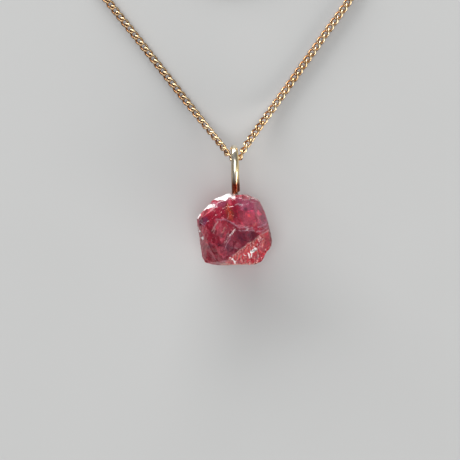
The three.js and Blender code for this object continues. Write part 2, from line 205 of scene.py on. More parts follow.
# Lines and faces of the crystal's upper side, across and along
CROSS_RIDGE = [
    (-2.43, -1.94), (-1.38, -1.88), (-0.7, -2.11), (-0.19, -2.49), (0.4, -2.88), (1.34, -3.0),
    (2.44, -3.07),
]
SLANT_RIDGE = [
    (4.57, -3.34), (3.89, -3.73), (2.95, -4.49), (1.68, -5.34), (0.49, -6.23), (-0.53, -7.13),
    (-1.21, -7.81),
]
# The face turned down and away from the light, which gets painted shade
SHADED_FACE = [
    (0.23, -3.17), (2.53, -3.3), (3.21, -4.15), (1.68, -5.26), (0.32, -6.28), (-0.7, -6.96),
    (-2.06, -6.36), (-1.72, -5.17), (-1.21, -4.15), (-0.45, -3.47),
]
HACKLED_FACE = [
    (4.57, -3.39), (2.95, -4.53), (0.49, -6.25), (-1.21, -7.89), (-0.7, -8.33), (4.0, -8.33),
    (5.7, -5.34),
]
# Where the surface is calmer than elsewhere: the outline, and the share of its flakes and ripples
# that is left out
CALM_AREAS = [
    ([(-2.6, -0.3), (-1.8, 0.6), (-0.5, 1.3), (3.2, 1.1), (4.3, -1.5), (2.6, -2.7), (0.4, -2.6),
      (-2.6, -1.8)], 0.8),
    ([(-3.6, -2.1), (-0.6, -2.2), (0.0, -3.0), (-1.2, -5.0), (-3.4, -5.2)], 0.5),
    ([(-5.0, -1.9), (-2.6, -0.6), (-2.6, 0.3), (0.2, 0.9), (0.2, 1.9), (-3.2, 1.2), (-5.2, -0.6)], 0.75),
]
CLEAR_WINDOW = [(-1.3, 0.6), (0.8, 0.7), (1.0, -1.4), (0.2, -2.2), (-0.9, -1.5)]
# Each crest line with its reach and its height
CREST_LINES = [
    (CROSS_RIDGE, 0.25, 0.025),
    (SLANT_RIDGE, 0.16, 0.05),
    ([(-3.59, -5.07), (-2.23, -7.79)], 0.16, 0.03),
    ([(3.21, -2.96), (3.72, -2.79), (4.23, -2.45), (4.54, -2.11)], 0.12, 0.04),
    ([(2.95, -3.56), (3.72, -3.39), (4.31, -2.96)], 0.12, 0.04),
    ([(-4.3, -1.6), (-3.5, -2.3), (-2.5, -1.95)], 0.12, 0.02),
    ([(-4.6, -3.3), (-4.0, -4.0), (-3.9, -5.0)], 0.14, 0.04),
]

# Metals: bright and deep tone, how fine their patches are, and their polish
CHAIN_GOLD = ((0.96, 0.77, 0.49, 1), (0.8, 0.54, 0.27, 1), 500.0, 0.17)
BAIL_GOLD = ((0.98, 0.93, 0.8, 1), (0.92, 0.8, 0.58, 1), 350.0, 0.14)
# Painted shade for the links' insides and lower sides, and how strongly it is laid on
SHADE_TONE = (0.3, 0.1, 0.025, 1)
SHADE_SHARE = 0.85
# The bail's sides, with painted shade on the left and a painted yellow reflection on the right: where
# across it they start and end, and their tone
BAIL_SHADED_LEFT = (-0.12 * MM, -0.4 * MM, (0.42, 0.27, 0.12, 1))
BAIL_REFLECTING_RIGHT = (0.12 * MM, 0.42 * MM, (0.9, 0.63, 0.22, 1))
BAIL_PAINTED_SIDE_SHARE = 0.75
# Painted red reflection of the stone at the bail's foot
BAIL_RED_REFLECTION = (0.2, 0.045, 0.02, 1)

# Spinel and glue: how clear they are, and how they bend and take up light
SPINEL_CLEAR = 0.62
HIGHLIGHT_CRUST_CLEAR = 0.12
SPINEL_IOR = 1.718
SPINEL_GLANCE = 0.3
ABSORBED = {"Color": (0.92, 0.06, 0.26, 1), "Density": 280.0}
SPINEL_TONES = {
    "Deep": (0.6, 0.01, 0.055, 1),
    "Rosy": (1.0, 0.19, 0.28, 1),
    # White for the frost and its painted sheen
    "Frost Sheen Color": (1, 0.97, 0.95, 1),
}
# The white crust that stands in for the painted highlights on the steps and the painted glints
HIGHLIGHT_CRUST_TONES = ((0.8, 0.62, 0.64, 1), (1.0, 0.98, 0.96, 1))
GLUE_TONES = ((0.75, 0.42, 0.34, 1), (0.95, 0.8, 0.7, 1))
GLUE_CLEAR = 0.8
GLUE_IOR = 1.5

# Floor and light
FLOOR_SIZE = 6
FLOOR_TONES = ((0.54, 0.54, 0.53, 1), (0.57, 0.57, 0.56, 1))
FLOOR_ROUGHNESS = 0.7
SKY_COLOUR = (0.93, 0.96, 1.0, 1)
SKY_STRENGTH = 0.2
# Each panel: its name, the way to it, its distance, its size, its watts and its tint
PANELS = [
    ("window", (-0.36, 0.9, 0.26), 0.9, (1.3, 0.36), 15, (1, 1, 1)),
    ("fill", (0.62, -0.74, 0.25), 0.9, (1.1, 0.32), 6.5, (1, 0.98, 0.95)),
    ("overhead", (-0.05, -0.24, 1.0), 1.0, (0.9, 0.7), 4.5, (0.97, 0.98, 1.0)),
]

# Colours of the crystal, as they would look on its surface; the mauve and lilac are painted sheen and
# highlights, the salmon and coral a painted glow, and the peg's colour a painted reflection of the gold peg
# seen through the stone
LILAC_SHEEN = (0.8, 0.42, 0.56)
SALMON_GLOW = (1.0, 0.16, 0.14)
CORAL_GLOW = (1.0, 0.2, 0.18)
RASPBERRY = (0.62, 0.015, 0.07)
MAUVE_SHEEN = (0.55, 0.17, 0.31)
PLUM = (0.12, 0.02, 0.07)
DARK_RED = (0.26, 0.02, 0.05)
PEG_REFLECTION = (0.5, 0.06, 0.025)
# Areas of another tone, among them painted sheen, painted shade, painted glow and a painted reflection: the
# outline, how softly it ends, the colour and its strength
TONE_AND_LIGHT_AREAS = [
    # Painted mauve sheen on the upper faces, as in the other mauve areas below
    ([(0.15, 0.98), (3.21, 0.81), (3.97, -0.58), (3.21, -1.26), (0.83, -0.58)], 0.35, MAUVE_SHEEN, 0.65),
    ([(0.4, -0.7), (3.2, -1.1), (3.5, -2.6), (1.2, -2.7), (0.7, -1.6)], 0.3, (0.66, 0.17, 0.25), 0.45),
    ([(-3.08, 0.35), (-0.7, 0.74), (-1.21, -0.07), (-2.91, -0.28)], 0.2, MAUVE_SHEEN, 0.55),
    ([(3.21, -1.09), (4.43, -1.26), (4.75, -2.96), (3.38, -2.79)], 0.3, MAUVE_SHEEN, 0.6),
    ([(-2.91, -6.87), (-1.21, -6.79), (-0.87, -7.96), (-2.74, -7.96)], 0.3, LILAC_SHEEN, 0.25),
    ([(-4.36, -5.68), (-3.08, -5.94), (-2.57, -7.38), (-4.1, -7.59)], 0.3, (0.9, 0.1, 0.18), 0.5),
    ([(-4.81, -1.94), (-3.76, -1.43), (-3.51, -2.03), (-4.1, -2.79),
      (-4.7, -2.62)], 0.2, (0.18, 0.05, 0.17), 0.7),
    ([(-0.36, -0.58), (0.35, -1.26), (0.91, -2.62), (0.23, -2.49), (-0.33, -1.69)], 0.2, DARK_RED, 0.7),
    # Painted reflection of the gold peg seen through the stone
    ([(-1.07, 0.52), (-0.45, -0.07), (-0.05, -1.26), (-0.19, -2.03), (-0.84, -1.94), (-1.24, -1.09),
      (-1.24, -0.07)], 0.15, PEG_REFLECTION, 0.75),
    ([(-2.8, -2.2), (-0.9, -2.4), (-0.3, -3.2), (-1.0, -4.3), (-2.6, -4.2)], 0.45, (1.0, 0.22, 0.3), 0.35),
    # Painted shade on the face turned away from the light
    (SHADED_FACE, 0.2, (0.3, 0.05, 0.1), 0.6),
    (HACKLED_FACE, 0.12, (1.0, 0.02, 0.045), 0.95),
    ([(3.2, -4.6), (4.4, -3.9), (4.9, -5.1), (3.9, -6.2), (3.2, -5.9)], 0.25, RASPBERRY, 0.85),
    ([(3.0, -6.6), (4.2, -6.6), (3.9, -7.9), (2.6, -7.9)], 0.3, RASPBERRY, 0.6),
    ([(4.0, 0.2), (5.2, -0.6), (5.6, -6.0), (4.9, -5.6), (4.6, -3.0),
      (4.2, -1.2)], 0.25, (0.2, 0.01, 0.02), 0.95),
    # Painted shade on the left and lower-left flanks
    ([(-5.4, -2.2), (-4.6, -2.4), (-4.1, -5.0), (-3.9, -7.6), (-4.8, -7.6),
      (-5.3, -4.0)], 0.2, (0.45, 0.02, 0.07), 0.65),
    ([(-4.0, -5.2), (-3.2, -5.2), (-1.6, -7.2), (-2.0, -8.1), (-4.2, -7.8)], 0.25, (0.42, 0.01, 0.04),
      0.65),
    # Painted coral glow along the slant ridge
    ([(2.95, -4.6), (3.05, -5.5), (1.6, -6.4), (0.4, -7.2), (-0.5, -7.7), (-1.0, -7.7)], 0.2, CORAL_GLOW, 0.55),
]
# Spots of another tone, the salmon and red ones painted glints: the middle, the radius, the colour and its
# strength
TONE_AND_GLINT_SPOTS = [
    ((-3.25, -5.38), 0.5, PLUM, 0.6),
    ((-1.98, -5.31), 0.45, PLUM, 0.6),
    ((-1.75, -4.02), 0.45, PLUM, 0.5),
    ((1.51, -0.5), 0.4, PLUM, 0.5),
    ((-0.7, -5.77), 0.8, PLUM, 0.6),
    ((1.03, -4.19), 1.0, PLUM, 0.6),
    ((2.19, -4.02), 0.8, PLUM, 0.55),
    ((-0.79, 0.95), 0.22, PLUM, 0.7),
    # Painted glints
    ((2.02, -1.4), 0.25, SALMON_GLOW, 0.8),
    ((2.73, -2.62), 0.35, (1.0, 0.2, 0.2), 0.7),
]
# Lines of painted highlight and painted glow on the ridges, cracks, rim and hackled face, and a painted
# reflection of the peg: the points, the reach to each side, the colour and its strength
HIGHLIGHT_AND_GLOW_LINES = [
    (CROSS_RIDGE, 0.22, LILAC_SHEEN, 0.6),
    (SLANT_RIDGE, 0.16, (1.0, 0.4, 0.34), 0.6),
    ([(0.57, -3.34), (1.51, -3.41), (2.53, -3.3)], 0.16, LILAC_SHEEN, 0.7),
    ([(-2.26, -2.2), (-2.54, -2.62), (-2.83, -3.05), (-3.08, -3.44)], 0.15, (1.0, 0.65, 0.66), 0.85),
    ([(-2.62, -2.96), (-2.83, -3.68)], 0.13, (1.0, 0.65, 0.66), 0.7),
    ([(-1.28, -3.0), (-1.45, -3.3), (-1.66, -3.62)], 0.15, (1.0, 0.5, 0.45), 0.85),
    ([(-0.36, -3.73), (-0.62, -4.49), (-1.01, -5.17), (-1.35, -5.85)], 0.13, LILAC_SHEEN, 0.55),
    ([(-3.76, -5.17), (-3.34, -6.02), (-2.66, -7.21)], 0.16, LILAC_SHEEN, 0.25),
    ([(3.21, -2.96), (3.72, -2.79), (4.23, -2.45), (4.54, -2.11)], 0.15, LILAC_SHEEN, 0.75),
    ([(2.95, -3.56), (3.72, -3.39), (4.31, -2.96)], 0.14, LILAC_SHEEN, 0.7),
    ([(3.72, -3.73), (4.23, -3.56), (4.71, -3.22)], 0.13, LILAC_SHEEN, 0.6),
    ([(0.12, 0.1), (0.49, 0.16), (1.03, 0.06)], 0.13, (0.75, 0.66, 0.72), 0.8),
    ([(3.89, -0.33), (4.23, -1.09), (4.43, -1.94)], 0.2, LILAC_SHEEN, 0.6),
    ([(3.89, -3.98), (4.03, -4.66), (3.72, -5.51)], 0.3, SALMON_GLOW, 0.7),
    ([(-1.86, -7.89), (-0.36, -8.0), (1.34, -8.0), (3.21, -7.79)], 0.22, (1.0, 0.6, 0.5), 0.95),
    ([(-0.9, 0.01), (-0.6, -1.26)], 0.22, (0.8, 0.1, 0.04), 0.7),
    ([(2.8, -5.2), (2.55, -5.7)], 0.2, CORAL_GLOW, 0.9),
    ([(3.11, -5.82), (3.15, -6.66)], 0.12, (1.0, 0.6, 0.55), 0.8),
    ([(0.83, -6.87), (1.0, -7.59)], 0.12, (1.0, 0.6, 0.55), 0.7),
    ([(0.4, -6.62), (0.49, -7.25)], 0.12, (1.0, 0.6, 0.55), 0.6),
    ([(1.34, -7.04), (1.42, -7.66)], 0.12, (1.0, 0.6, 0.55), 0.7),
]
# What is a little frosted and gets a painted white sheen: lines with their reach and strength
FROST_AND_SHEEN_LINES = [
    ([(1.17, 1.46), (1.68, 1.35), (2.19, 0.95), (3.21, 0.74)], 0.25, 0.45),
    ([(-4.95, -3.0), (-4.81, -3.51)], 0.25, 0.6),
    ([(-4.41, -4.29), (-4.24, -4.6)], 0.22, 0.7),
]
# What gets a white crust as a painted highlight: the two steps at the top left, then strokes of painted
# glint with their width
HIGHLIGHT_STEPS = [
    [(-3.1, 0.6), (-3.0, 1.0), (-1.5, 1.7), (-0.9, 1.9), (0.15, 1.6), (0.12, 0.95), (-0.35, 0.9),
     (-0.5, 1.12), (-0.78, 1.08), (-0.9, 0.8), (-1.15, 0.7), (-2.82, 0.74)],
    [(-4.7, -0.75), (-3.7, 0.2), (-2.65, 0.2), (-2.6, -0.24), (-3.1, -0.3), (-3.71, -0.4), (-4.38, -0.9)],
]
GLINT_STROKES = [
    ([(-4.62, -1.1), (-4.72, -1.3)], 0.2),
    ([(-4.85, -1.45), (-5.0, -1.7)], 0.2),
    ([(2.85, -5.82), (2.66, -6.02), (2.45, -6.3)], 0.38),
    ([(2.57, -5.5), (2.6, -5.6)], 0.14),
    ([(1.84, -6.38), (1.93, -6.7), (2.07, -7.0)], 0.16),
    ([(2.22, -6.3), (2.3, -6.95)], 0.12),
    ([(-0.27, -7.24), (-0.08, -7.45), (0.08, -7.63)], 0.22),
    ([(-0.08, -7.5), (0.03, -7.8)], 0.18),
    ([(-0.6, -7.1), (-0.54, -7.12)], 0.14),
    ([(-4.64, -3.35), (-4.6, -3.45)], 0.16),
    ([(-4.3, -4.36), (-4.26, -4.48)], 0.15),
]

# Camera

def add_camera():
    bpy.ops.object.camera_add(location=(*VIEW_CENTRE, CAMERA_HEIGHT), rotation=(0, 0, 0))
    camera = bpy.context.object
    camera.name = "camera"
    camera.data.sensor_width = SENSOR_MM
    camera.data.lens = SENSOR_MM * CAMERA_HEIGHT / VIEW_WIDTH
    bpy.context.scene.camera = camera


# Helpers

def pick(*pieces):
    """Selects these pieces alone, and makes the first of them active."""
    bpy.ops.object.select_all(action="DESELECT")
    for piece in pieces:
        piece.select_set(True)
    bpy.context.view_layer.objects.active = pieces[0]


def apply_modifier(piece, kind, **settings):
    """Puts a modifier with these settings on a piece and applies it."""
    modifier = piece.modifiers.new(kind.lower(), kind)
    for name, value in settings.items():
        setattr(modifier, name, value)
    pick(piece)
    bpy.ops.object.modifier_apply(modifier=modifier.name)


def texture(name, kind, **settings):
    made = bpy.data.textures.new(name, kind)
    for label, value in settings.items():
        setattr(made, label, value)
    return made


def displace(piece, pattern, strength, **settings):
    """Raises and lowers a surface by a texture laid through it."""
    common = {"texture": pattern, "strength": strength, "mid_level": 0.5, "texture_coords": "LOCAL"}
    apply_modifier(piece, "DISPLACE", **{**common, **settings})


def to_metres(piece, name):
    """Names a finished piece and leaves it at the origin, unturned, in metres."""
    piece.name = name
    piece.data.name = name
    piece.data.transform(Matrix.Scale(MM, 4) @ piece.matrix_world)
    piece.matrix_world = Matrix.Identity(4)


def smooth_route(corners, spacing):
    """Evenly spaced points on a centripetal curve through the corners."""
    corners = [Vector(c) for c in corners]
    corners = [2 * corners[0] - corners[1], *corners, 2 * corners[-1] - corners[-2]]
    fine = []
    for a, b, c, d in zip(corners, corners[1:], corners[2:], corners[3:]):
        t0, t1, t2 = ((q - p).length ** 0.5 for p, q in ((a, b), (b, c), (c, d)))
        leaving = ((b - a) / t0 - (c - a) / (t0 + t1) + (c - b) / t1) * t1
        coming = ((c - b) / t1 - (d - b) / (t1 + t2) + (d - c) / t2) * t1
        for u in np.linspace(0, 1, FINE_STEPS, endpoint=False):
            start, end = 1 - 3 * u**2 + 2 * u**3, 3 * u**2 - 2 * u**3
            fine.append(b * start + c * end + leaving * (u - 2 * u**2 + u**3) + coming * (u**3 - u**2))
    fine.append(corners[-2])
    return evenly_spaced(np.array(fine), spacing)


def evenly_spaced(points, spacing):
    along = distances_along(points)
    count = max(2, round(along[-1] / spacing) + 1)
    return points_at(points, along, np.linspace(0, along[-1], count))


def distances_along(points):
    steps = np.linalg.norm(np.diff(points, axis=0), axis=1)
    return np.concatenate([[0], np.cumsum(steps)])


def points_at(points, along, places):
    return np.stack([np.interp(places, along, points[:, axis]) for axis in range(3)], axis=1)


def smoothstep(value, low, high):
    share = np.clip((value - low) / (high - low), 0, 1)
    return share * share * (3 - 2 * share)


def wire_along(points, radii, name, sides=10, closed=False):
    """A round wire along points, of one radius or one for each point, as a mesh with closed ends."""
    bpy.ops.object.select_all(action="DESELECT")
    bpy.ops.curve.primitive_bezier_curve_add()
    wire = bpy.context.object
    wire.name = name
    wire.data.splines.clear()
    spline = wire.data.splines.new("POLY")
    spline.points.add(len(points) - 1)
    for place, co, radius in zip(spline.points, points, np.broadcast_to(radii, len(points))):
        place.co = (*co, 1)
        place.radius = radius
    spline.use_cyclic_u = closed
    wire.data.bevel_depth = 1
    wire.data.bevel_resolution = sides // 2 - 2
    wire.data.use_fill_caps = not closed
    bpy.ops.object.convert(target="MESH")
    bpy.ops.object.shade_smooth_by_angle(angle=WIRE_CREASE)
    return bpy.context.object


def join(pieces):
    pick(*pieces)
    bpy.ops.object.join()
    return bpy.context.object


# Chain

def jump_ring_matrix(side):
    tilt = JUMP_RING_TILT if side == "right" else -JUMP_RING_TILT
    at = Vector((JUMP_RING_REACH[side], 0, JUMP_RING_Z))
    return CLASP_MATRIX @ Matrix.Translation(at) @ Matrix.Rotation(tilt, 4, "X")


def hook_point(side):
    """The middle of a jump ring's wire where the chain's end link hangs on it."""
    turn = HOOK_TURN if side == "right" else HOOK_TURN + math.pi
    spot = Vector((math.cos(turn), math.sin(turn), 0)) * JUMP_RING_RADIUS
    return jump_ring_matrix(side) @ spot


def coil_strand(leaves, side):
    """One strand of the coil, from its end link on the jump ring out to where it leaves the coil."""
    leave_turn, leave_radius = leaves
    hook = hook_point(side) - COIL_CENTRE
    inner_turn = leave_turn - 2 * math.pi * (leave_radius - COIL_INNER) / TURN_PITCH
    hook_turn = math.atan2(hook.y, hook.x)
    hook_turn += 2 * math.pi * round((inner_turn - CURL_IN - hook_turn) / (2 * math.pi))
    turns = np.arange(leave_turn, hook_turn, -2 * math.pi / TURN_STEPS)[::-1]
    points = [hook]
    for turn in turns[1:]:
        radius = max(leave_radius - TURN_PITCH * (leave_turn - turn) / (2 * math.pi), COIL_INNER)
        curl = smoothstep(turn, inner_turn, hook_turn)
        radius += (hook.xy.length - radius) * curl
        height = CHAIN_Z + (hook.z - CHAIN_Z) * curl**3
        points.append(Vector((radius * math.cos(turn), radius * math.sin(turn), height)))
    return [COIL_CENTRE + p for p in points]


def chain_route():
    corners = coil_strand(RIGHT_LEAVES, "right") + RIGHT_ROUTE
    corners += LEFT_ROUTE[::-1] + coil_strand(LEFT_LEAVES, "left")[::-1]
    return smooth_route(corners, ROUTE_STEP)


def curb_link():
    """One link: a round ring drawn out to an oval, then twisted."""
    bpy.ops.object.select_all(action="DESELECT")
    bpy.ops.mesh.primitive_torus_add(
        major_segments=LINK_RINGS,
        minor_segments=LINK_SIDES,
        major_radius=LINK_HALF_WIDTH,
        minor_radius=LINK_WIRE / 2,
    )
    link = bpy.context.object
    points, _ = places_of(link.data)
    inwards = LINK_HALF_WIDTH - np.hypot(points[:, 0], points[:, 1])
    # Painted shade on the inside of the ring, where the links meet
    paint(link.data, "inner", smoothstep(inwards, *SHADE_INWARDS))
    draw_out = LINK_HALF_LENGTH - LINK_HALF_WIDTH
    for ring in range(LINK_RINGS):
        turn = 2 * math.pi * ring / LINK_RINGS
        bpy.ops.object.mode_set(mode="EDIT")
        bpy.ops.mesh.select_all(action="DESELECT")
        bpy.ops.object.mode_set(mode="OBJECT")
        for vertex in link.data.vertices[ring * LINK_SIDES : (ring + 1) * LINK_SIDES]:
            vertex.select = True
        bpy.ops.object.mode_set(mode="EDIT")
        bpy.ops.transform.translate(value=(draw_out * math.cos(turn), 0, 0))
        bpy.ops.object.mode_set(mode="OBJECT")
    apply_modifier(link, "SIMPLE_DEFORM", deform_method="TWIST", deform_axis="X", angle=LINK_TWIST)
    bpy.ops.object.shade_smooth()
    return link


def roll_at(gap, on_right):
    """How far a link is rolled about the chain's line, at this distance from the bail."""
    if on_right:
        flat, lying = 0, ROLL_ON_RIGHT
    else:
        flat = math.pi
        lying = ROLL_LEFT_OF_BAIL + (ROLL_ON_LEFT - ROLL_LEFT_OF_BAIL) * smoothstep(gap, *LEFT_ROLLS_ON)
    lying += (flat - lying) * smoothstep(gap, *ROLL_LIES_DOWN)
    return ROLL_IN_BAIL + (lying - ROLL_IN_BAIL) * smoothstep(gap, *ROLL_LEAVES_BAIL)


def curb_chain(route):
    """The whole chain as one piece of links that hang in each other."""
    draw = random.Random(CHAIN_SEED)
    along = distances_along(route)
    middle = along[np.argmin(np.linalg.norm(route - np.array(RIGHT_ROUTE[-1]), axis=1))]
    first = LINK_HALF_LENGTH - (LINK_WIRE + JUMP_RING_WIRE) / 2
    count = round((along[-1] - 2 * first) / LINK_PITCH) + 1
    places = np.linspace(first, along[-1] - first, count)
    middles = points_at(route, along, places)
    ahead = points_at(route, along, places + LINK_HALF_LENGTH / 2)
    behind = points_at(route, along, places - LINK_HALF_LENGTH / 2)
    pattern = curb_link()
    shape, _ = places_of(pattern.data)
    inner = np.zeros(len(shape), np.float32)
    pattern.data.attributes["inner"].data.foreach_get("value", inner)
    links = []
    for place, at, front, back in zip(places, middles, ahead, behind):
        way = Vector(front - back).normalized()
        side = Vector((0, 0, 1)).cross(way).normalized()
        up = way.cross(side)
        turned = Matrix((way, side, up)).transposed().to_4x4()
        roll = roll_at(abs(place - middle), place < middle) + draw.uniform(-ROLL_JITTER, ROLL_JITTER)
        link = pattern.copy()
        link.data = pattern.data.copy()
        turned = turned @ Matrix.Rotation(roll, 4, "X")
        heights = shape @ np.array(turned)[2, :3]
        lowest = heights.min()
        # Painted shade on the lower side of each link, as it lies
        shade_below = 1 - smoothstep(heights, *SHADE_UPWARDS)
        link.data.attributes["inner"].data.foreach_set("value", np.maximum(inner, shade_below).astype(np.float32))
        at = Vector((at[0], at[1], max(at[2], -lowest)))
        link.matrix_world = Matrix.Translation(at) @ turned
        bpy.context.collection.objects.link(link)
        links.append(link)
    bpy.data.objects.remove(pattern)
    chain = join(links)
    to_metres(chain, "curb_chain")
    return chain


# Clasp

def arc_points(radius, start, end, count):
    turns = np.linspace(math.radians(start), math.radians(end), count)
    return [Vector((radius * math.cos(t), radius * math.sin(t), 0)) for t in turns]


def moved(points, matrix):
    return [matrix @ p for p in points]


def spring_ring():
    """A tube bent round, its bolt across the gap, two collars, the trigger and the eye."""
    at = CLASP_MATRIX @ Matrix.Translation(SPRING_RING_AT)
    tube = SPRING_RING_TUBE / 2
    parts = []
    shell = arc_points(SPRING_RING_RADIUS, *SHELL_ARC, 60)
    parts.append(wire_along(moved(shell, at), tube, "shell", sides=16))
    bolt = arc_points(SPRING_RING_RADIUS, *BOLT_ARC, 16)
    parts.append(wire_along(moved(bolt, at), BOLT_RADIUS, "bolt", sides=12))
    for turn in SHELL_ARC:
        collar = arc_points(SPRING_RING_RADIUS, turn - COLLAR_HALF_ARC, turn + COLLAR_HALF_ARC, 3)
        parts.append(wire_along(moved(collar, at), tube + COLLAR_RISE, "collar", sides=16))
    lever = [Vector(point) for point in LEVER]
    parts.append(wire_along(moved(lever, at), LEVER_RADII, "trigger", sides=10))
    eye = arc_points(EYE_RADIUS, 0, 360, 33)[:-1]
    eye_at = at @ Matrix.Translation(EYE_AT)
    parts.append(wire_along(moved(eye, eye_at), EYE_WIRE_RADIUS, "eye", sides=10, closed=True))
    clasp = join(parts)
    to_metres(clasp, "spring_ring")
    return clasp


def jump_ring(side):
    """A ring of wire whose two ends meet."""
    ring = arc_points(JUMP_RING_RADIUS, *JUMP_RING_ARC, 44)
    points = moved(ring, jump_ring_matrix(side))
    piece = wire_along(points, JUMP_RING_WIRE / 2, "jump_ring", sides=12)
    to_metres(piece, side + "_jump_ring")
    return piece


# Bail and cement

def bail():
    points = smooth_route(BAIL_ROUTE, BAIL_STEP)
    along = distances_along(points)
    end = along[-1]
    narrows, thin = (end - gap for gap in BAIL_NARROWS)
    swell = smoothstep(along, *BAIL_SWELLS) * (1 - smoothstep(along, narrows, thin))
    radii = BAIL_THIN + (BAIL_THICK - BAIL_THIN) * swell
    radii[-2:] *= TAIL_ROUNDED
    wire = wire_along(points, radii, "bail", sides=24)
    to_metres(wire, "bail")
    return wire


def cement():
    """A collar of set glue that climbs the wire."""
    bpy.ops.object.select_all(action="DESELECT")
    bpy.ops.mesh.primitive_cone_add(
        vertices=28,
        radius1=BEAD_FOOT,
        radius2=BEAD_LIP,
        depth=BEAD_HEIGHT,
        location=(PEG_AXIS[0], STONE_TOP_Y + BEAD_LIFT + BEAD_HEIGHT / 2, PEG_AXIS[1]),
        rotation=(math.radians(-90), 0, 0),
    )
    bead = bpy.context.object
    bpy.ops.object.transform_apply(location=False, rotation=False, scale=True)
    apply_modifier(bead, "BEVEL", width=BEAD_EDGE, segments=3)
    apply_modifier(bead, "SUBSURF", levels=1, render_levels=1, subdivision_type="SIMPLE")
    lumps = texture("glue_lumps", "CLOUDS", noise_scale=LUMP_SIZE)
    displace(bead, lumps, LUMP_HEIGHT, mid_level=LUMP_LEVEL)
    bpy.ops.object.shade_smooth()
    to_metres(bead, "cement")
    return bead


# Crystal

def inside(polygon, x, y, soft):
    """1 well inside a polygon and 0 well outside, easing over a distance at its edge."""
    corners = np.array(polygon)
    nearest = np.full(x.shape, np.inf)
    crossings = np.zeros(x.shape, int)
    for (ax, ay), (bx, by) in zip(corners, np.roll(corners, -1, axis=0)):
        nearest = np.minimum(nearest, distance_to_edge(x, y, ax, ay, bx, by))
        spans = (ay > y) != (by > y)
        crossings += spans & (x < (bx - ax) * (y - ay) / (by - ay + 1e-12) + ax)
    signed = np.where(crossings % 2 == 1, nearest, -nearest)
    return smoothstep(signed, -soft, soft)


def distance_to_edge(x, y, ax, ay, bx, by):
    length2 = (bx - ax) ** 2 + (by - ay) ** 2
    share = np.clip(((x - ax) * (bx - ax) + (y - ay) * (by - ay)) / length2, 0, 1)
    return np.hypot(x - ax - share * (bx - ax), y - ay - share * (by - ay))


def near_line(line, x, y, reach):
    """1 on a line and 0 beyond its reach."""
    nearest = np.full(x.shape, np.inf)
    for (ax, ay), (bx, by) in zip(line, line[1:]):
        nearest = np.minimum(nearest, distance_to_edge(x, y, ax, ay, bx, by))
    return 1 - smoothstep(nearest, 0, reach)


def places_of(mesh):
    """A mesh's points and their normals as arrays."""
    points = np.zeros(len(mesh.vertices) * 3, np.float32)
    normals = np.zeros(len(mesh.vertices) * 3, np.float32)
    mesh.vertices.foreach_get("co", points)
    mesh.vertex_normals.foreach_get("vector", normals)
    return points.reshape(-1, 3).astype(float), normals.reshape(-1, 3).astype(float)


def set_places(mesh, points):
    mesh.vertices.foreach_set("co", points.astype(np.float32).ravel())
    mesh.update()


def paint(mesh, name, values):
    """Keeps a value between 0 and 1 for each point, for the material to read."""
    attribute = mesh.attributes.new(name, "FLOAT", "POINT")
    attribute.data.foreach_set("value", values.astype(np.float32))


def paint_group(piece, name, values):
    """The same as a vertex group, for a modifier to read."""
    group = piece.vertex_groups.new(name=name)
    levels = np.round(np.clip(values, 0, 1) * 16).astype(int)
    for level in range(1, 17):
        group.add(np.flatnonzero(levels == level).tolist(), level / 16, "REPLACE")


def rough_block():
    """The solid crystal as a fine mesh, its drilled hole closed up on the peg."""
    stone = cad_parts["spinel_crystal"].copy()
    stone.data = stone.data.copy()
    bpy.context.collection.objects.link(stone)
    for key in [k for k in stone.keys() if k.startswith("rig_")]:
        del stone[key]
    stone.parent = None
    stone.data.transform(Matrix.Scale(1 / MM, 4))
    pick(stone)
    bpy.ops.object.mode_set(mode="EDIT")
    bpy.ops.mesh.select_all(action="SELECT")
    bpy.ops.mesh.remove_doubles(threshold=MERGE_WITHIN)
    bpy.ops.object.mode_set(mode="OBJECT")
    points, _ = places_of(stone.data)
    across, up = points[:, 0] - PEG_AXIS[0], points[:, 2] - PEG_AXIS[1]
    on_hole = np.hypot(across, up) < PEG_HOLE + HOLE_MARGIN
    on_hole &= (points[:, 1] < STONE_TOP_Y + HOLE_MARGIN) & (points[:, 1] > HOLE_END_Y)
    shrink = np.where(on_hole, PEG_HOLE_CLOSED / PEG_HOLE, 1)
    points[:, 0] = PEG_AXIS[0] + across * shrink
    points[:, 2] = PEG_AXIS[1] + up * shrink
    set_places(stone.data, points)
    apply_modifier(stone, "REMESH", mode="VOXEL", voxel_size=STONE_VOXEL, use_smooth_shade=True)
    return stone


def chip(points, centre, radius):
    """Hollows the surface to a ball, as where a flake has sprung off."""
    away = points - centre
    gap = np.linalg.norm(away, axis=1)
    deep = gap < radius
    points[deep] = centre + away[deep] * (radius / gap[deep])[:, None]


def add_flakes(stone, draw):
    """Broad shallow flakes all over, then small ones off the sharp edges."""
    points, normals = places_of(stone.data)
    first, facing = points.copy(), normals
    for spot in draw.choice(len(points), BROAD_FLAKES, replace=False):
        flake(points, normals, spot, BROAD_FLAKE, draw)
    set_places(stone.data, points)
    points, normals = places_of(stone.data)
    for spot in draw.choice(sharp_places(stone.data, points, normals), EDGE_FLAKES, replace=False):
        flake(points, normals, spot, EDGE_FLAKE, draw)
    set_places(stone.data, flaked_no_deeper(points, first, facing))


def flaked_no_deeper(points, first, normals):
    """Holds the flakes to a shallow depth, and leaves the outline and the calm areas nearly as cut."""
    sideways = 1 - smoothstep(np.abs(normals[:, 2]), 0.25, 0.6)
    limit = FLAKE_DEPTH * (1 - SIDE_FLAKE_SHARE * sideways) * (1 - calm_at(first))
    shift = points - first
    size = np.linalg.norm(shift, axis=1)
    return first + shift * np.minimum(1, limit / np.maximum(size, 1e-6))[:, None]


def calm_at(points):
    """How calm the upper side of the crystal is at each point."""
    x, y, z = points.T
    calm = [inside(outline, x, y, CALM_SOFT) * share for outline, share in CALM_AREAS]
    return np.max(calm, axis=0) * (z > STONE_MIDDLE.z)


